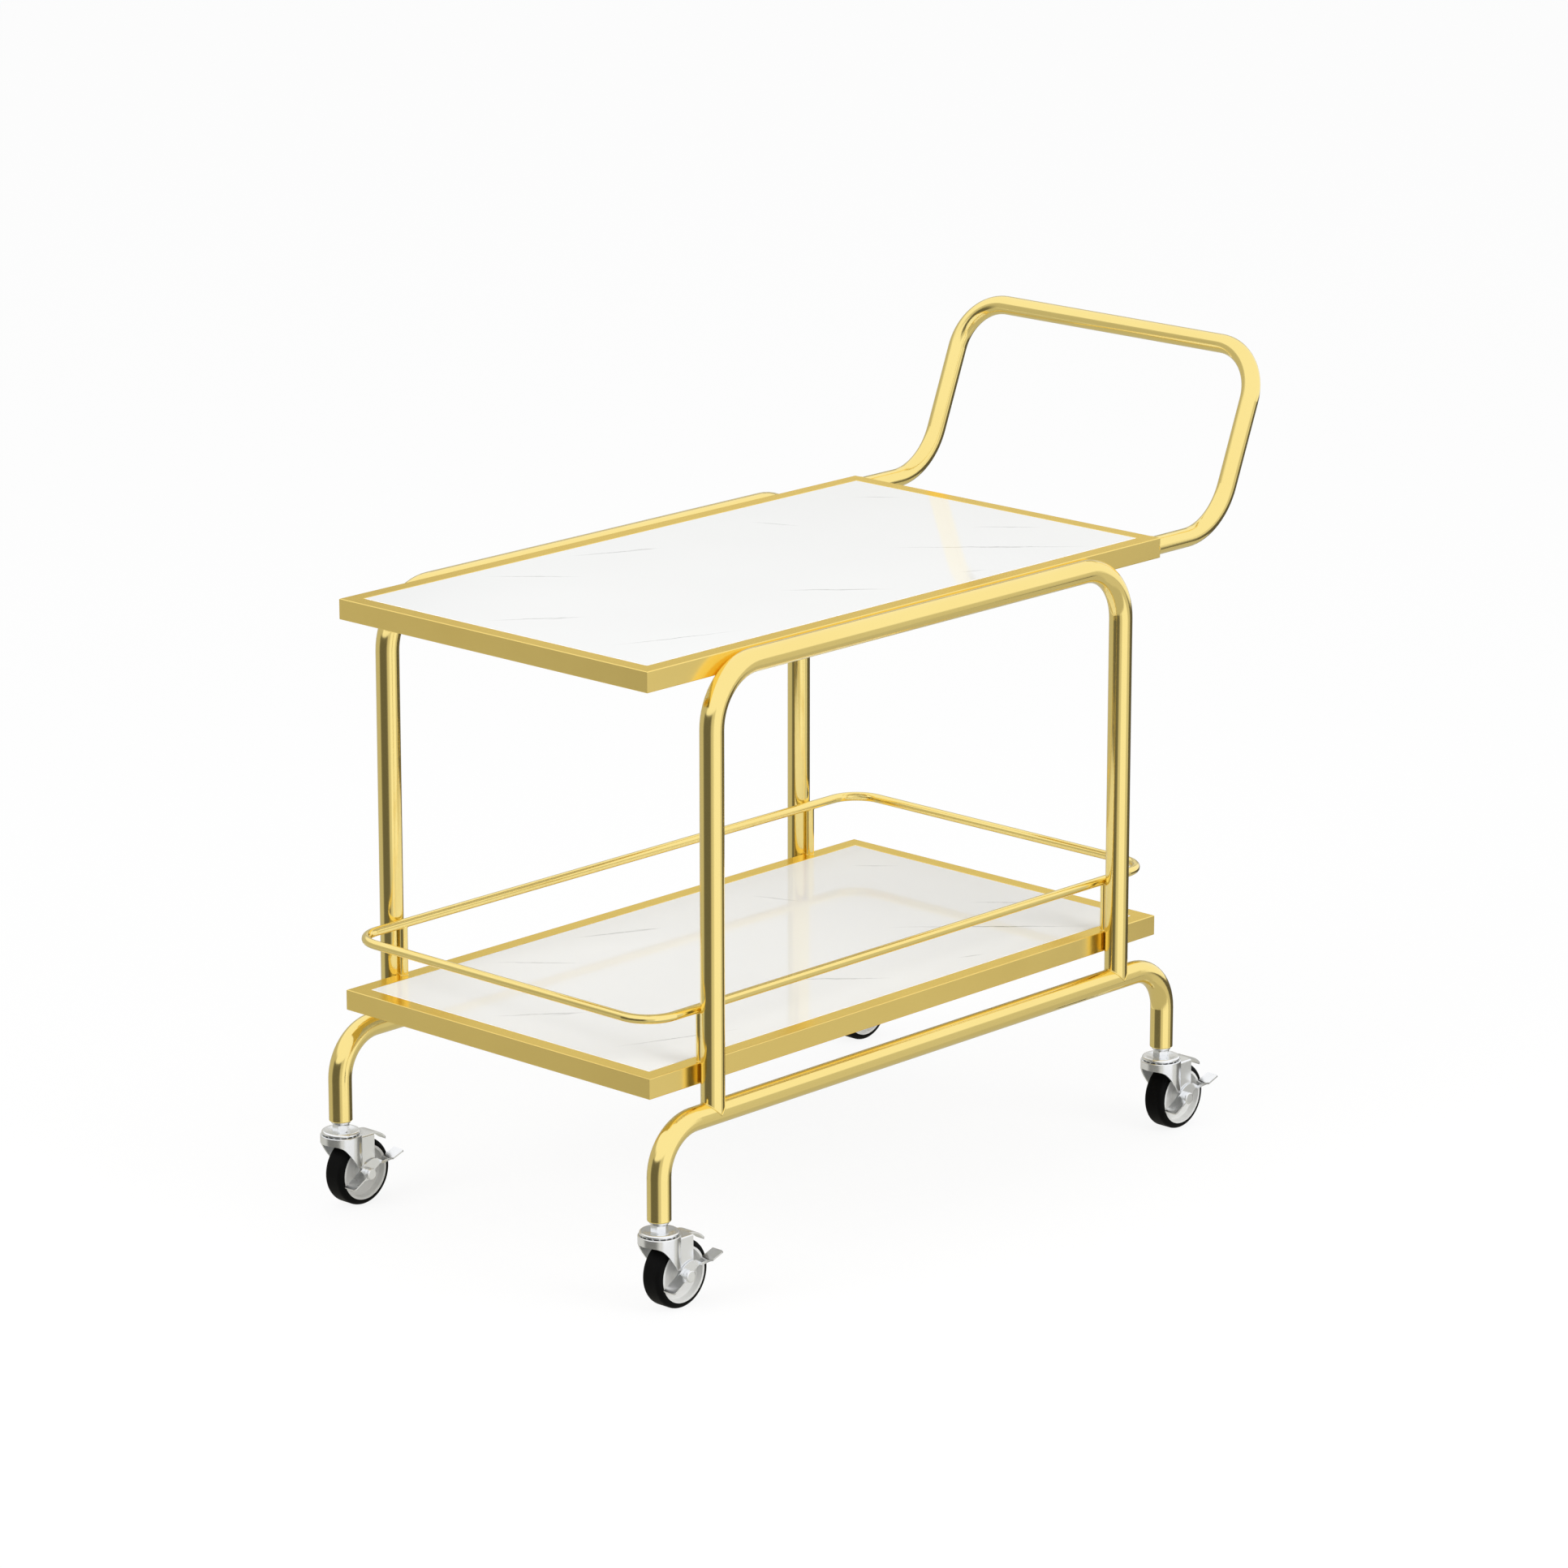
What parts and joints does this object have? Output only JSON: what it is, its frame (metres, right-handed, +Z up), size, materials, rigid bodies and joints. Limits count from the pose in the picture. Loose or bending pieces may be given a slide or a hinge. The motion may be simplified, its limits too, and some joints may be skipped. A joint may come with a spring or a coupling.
{
  "type": "service cart",
  "caption": "Two-tier service cart: gold tube frame, white slab shelves with flush rims, gallery rail on the lower shelf, push handle, braked swivel casters.",
  "frame": {"origin": "on the floor, under the middle of the cart's outline in plan", "axes": "+X towards the push handle, +Y towards the right side of a person who pushes, +Z up"},
  "size_m": [1.0153, 0.5314, 0.8648],
  "materials": {
    "gold_tube": "polished gold plating on steel tube",
    "gold_rim": "satin gold plating on steel section",
    "white_slab": "polished, white with faint grey veins",
    "pad_rubber": "soft pad",
    "bright_steel": "bright plated steel",
    "wheel_nylon": "moulded",
    "tyre_rubber": "smooth"
  },
  "bodies": {
    "frame": {"left_hoop": "gold_tube", "right_hoop": "gold_tube", "left_base_bar": "gold_tube", "right_base_bar": "gold_tube", "gallery_rail": "gold_tube", "gallery_posts": "gold_tube", "push_handle": "gold_tube", "upper_left_rail": "gold_rim", "upper_right_rail": "gold_rim", "upper_front_rail": "gold_rim", "upper_rear_rail": "gold_rim", "lower_left_rail": "gold_rim", "lower_right_rail": "gold_rim", "lower_front_rail": "gold_rim", "lower_rear_rail": "gold_rim", "upper_ledges": "gold_rim", "lower_ledges": "gold_rim", "upper_slab": "white_slab", "lower_slab": "white_slab", "upper_slab_pads": "pad_rubber", "lower_slab_pads": "pad_rubber", "leg_inserts": "bright_steel", "caster_stems": "bright_steel", "race_caps": "bright_steel", "swivel_balls": "bright_steel", "swivel_washers": "bright_steel"},
    "front_left_caster": {"front_left_fork": "bright_steel", "front_left_axle_bolt": "bright_steel", "front_left_axle_nut": "bright_steel", "front_left_axle_sleeve": "bright_steel", "front_left_side_washers": "bright_steel"},
    "front_left_wheel": {"front_left_tyre": "tyre_rubber", "front_left_wheel_core": "wheel_nylon"},
    "front_left_brake": {"front_left_brake_lever": "bright_steel"},
    "front_right_caster": {"front_right_fork": "bright_steel", "front_right_axle_bolt": "bright_steel", "front_right_axle_nut": "bright_steel", "front_right_axle_sleeve": "bright_steel", "front_right_side_washers": "bright_steel"},
    "front_right_wheel": {"front_right_tyre": "tyre_rubber", "front_right_wheel_core": "wheel_nylon"},
    "front_right_brake": {"front_right_brake_lever": "bright_steel"},
    "rear_left_caster": {"rear_left_fork": "bright_steel", "rear_left_axle_bolt": "bright_steel", "rear_left_axle_nut": "bright_steel", "rear_left_axle_sleeve": "bright_steel", "rear_left_side_washers": "bright_steel"},
    "rear_left_wheel": {"rear_left_tyre": "tyre_rubber", "rear_left_wheel_core": "wheel_nylon"},
    "rear_left_brake": {"rear_left_brake_lever": "bright_steel"},
    "rear_right_caster": {"rear_right_fork": "bright_steel", "rear_right_axle_bolt": "bright_steel", "rear_right_axle_nut": "bright_steel", "rear_right_axle_sleeve": "bright_steel", "rear_right_side_washers": "bright_steel"},
    "rear_right_wheel": {"rear_right_tyre": "tyre_rubber", "rear_right_wheel_core": "wheel_nylon"},
    "rear_right_brake": {"rear_right_brake_lever": "bright_steel"}
  },
  "joints": [
    {"name": "front_left_swivel", "type": "hinge", "parent": "frame", "child": "front_left_caster", "pos_m": [-0.48517, -0.23405, 0.0835], "axis": [0, 0, 1], "continuous": true},
    {"name": "front_left_roll", "type": "hinge", "parent": "front_left_caster", "child": "front_left_wheel", "pos_m": [-0.46257, -0.23405, 0.037], "axis": [0, 1, 0], "continuous": true},
    {"name": "front_left_brake_press", "type": "hinge", "parent": "front_left_caster", "child": "front_left_brake", "pos_m": [-0.46257, -0.23405, 0.037], "axis": [0, 1, 0], "range_deg": [0, 20]},
    {"name": "front_right_swivel", "type": "hinge", "parent": "frame", "child": "front_right_caster", "pos_m": [-0.48517, 0.24135, 0.0835], "axis": [0, 0, 1], "continuous": true},
    {"name": "front_right_roll", "type": "hinge", "parent": "front_right_caster", "child": "front_right_wheel", "pos_m": [-0.46257, 0.24135, 0.037], "axis": [0, 1, 0], "continuous": true},
    {"name": "front_right_brake_press", "type": "hinge", "parent": "front_right_caster", "child": "front_right_brake", "pos_m": [-0.46257, 0.24135, 0.037], "axis": [0, 1, 0], "range_deg": [0, 20]},
    {"name": "rear_left_swivel", "type": "hinge", "parent": "frame", "child": "rear_left_caster", "pos_m": [0.31483, -0.23405, 0.0835], "axis": [0, 0, 1], "continuous": true},
    {"name": "rear_left_roll", "type": "hinge", "parent": "rear_left_caster", "child": "rear_left_wheel", "pos_m": [0.33743, -0.23405, 0.037], "axis": [0, 1, 0], "continuous": true},
    {"name": "rear_left_brake_press", "type": "hinge", "parent": "rear_left_caster", "child": "rear_left_brake", "pos_m": [0.33743, -0.23405, 0.037], "axis": [0, 1, 0], "range_deg": [0, 20]},
    {"name": "rear_right_swivel", "type": "hinge", "parent": "frame", "child": "rear_right_caster", "pos_m": [0.31483, 0.24135, 0.0835], "axis": [0, 0, 1], "continuous": true},
    {"name": "rear_right_roll", "type": "hinge", "parent": "rear_right_caster", "child": "rear_right_wheel", "pos_m": [0.33743, 0.24135, 0.037], "axis": [0, 1, 0], "continuous": true},
    {"name": "rear_right_brake_press", "type": "hinge", "parent": "rear_right_caster", "child": "rear_right_brake", "pos_m": [0.33743, 0.24135, 0.037], "axis": [0, 1, 0], "range_deg": [0, 20]}
  ]
}
